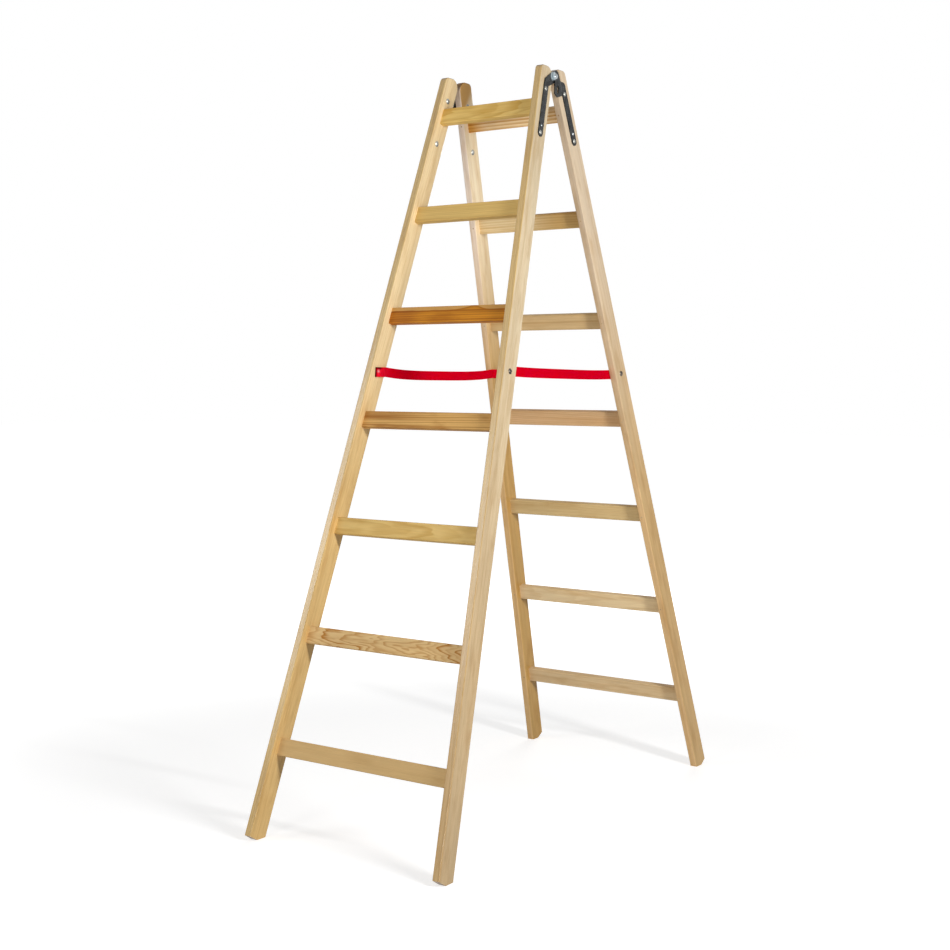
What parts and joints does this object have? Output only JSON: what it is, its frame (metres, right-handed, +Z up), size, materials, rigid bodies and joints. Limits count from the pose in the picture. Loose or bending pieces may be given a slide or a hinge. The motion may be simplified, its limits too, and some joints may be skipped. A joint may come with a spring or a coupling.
{
  "type": "wooden folding ladder",
  "caption": "Double-sided wooden A-frame ladder with tapered stiles, flat rungs, riveted steel strap hinges at the top and red webbing straps that stop the spread.",
  "frame": {"origin": "on the floor, in the middle between the four feet", "axes": "+Z up, +X along the rungs, the front frame towards -Y and the rear frame towards +Y"},
  "size_m": [0.578, 1.3522, 1.9213],
  "materials": {
    "pine_stile": "planed bare pine, matte",
    "pine_rung": "planed bare pine, matte",
    "hinge_steel": "blued steel, satin",
    "fastener_steel": "zinc-plated steel, worn",
    "red_webbing": "woven webbing"
  },
  "bodies": {
    "front_frame": {"front_brads": "fastener_steel", "front_hinge_rivets": "fastener_steel", "front_hinge_screws": "fastener_steel", "front_left_hinge_leaf": "hinge_steel", "front_left_stile": "pine_stile", "front_right_hinge_leaf": "hinge_steel", "front_right_stile": "pine_stile", "front_rung_1": "pine_rung", "front_rung_2": "pine_rung", "front_rung_3": "pine_rung", "front_rung_4": "pine_rung", "front_rung_5": "pine_rung", "front_rung_6": "pine_rung", "front_rung_7": "pine_rung", "front_strap_rivets": "fastener_steel", "front_strap_washers": "fastener_steel", "left_strap": "red_webbing", "right_strap": "red_webbing"},
    "rear_frame": {"rear_brads": "fastener_steel", "rear_hinge_rivets": "fastener_steel", "rear_hinge_screws": "fastener_steel", "rear_left_hinge_leaf": "hinge_steel", "rear_left_stile": "pine_stile", "rear_right_hinge_leaf": "hinge_steel", "rear_right_stile": "pine_stile", "rear_rung_1": "pine_rung", "rear_rung_2": "pine_rung", "rear_rung_3": "pine_rung", "rear_rung_4": "pine_rung", "rear_rung_5": "pine_rung", "rear_rung_6": "pine_rung", "rear_rung_7": "pine_rung", "rear_strap_rivets": "fastener_steel", "rear_strap_washers": "fastener_steel", "left_pivot_rivet": "fastener_steel", "right_pivot_rivet": "fastener_steel"}
  },
  "joints": [
    {"name": "fold", "type": "hinge", "parent": "front_frame", "child": "rear_frame", "pos_m": [0, 0, 1.89831], "axis": [-1, 0, 0], "range_deg": [0, 36], "deforming": ["left_strap", "right_strap"]}
  ]
}
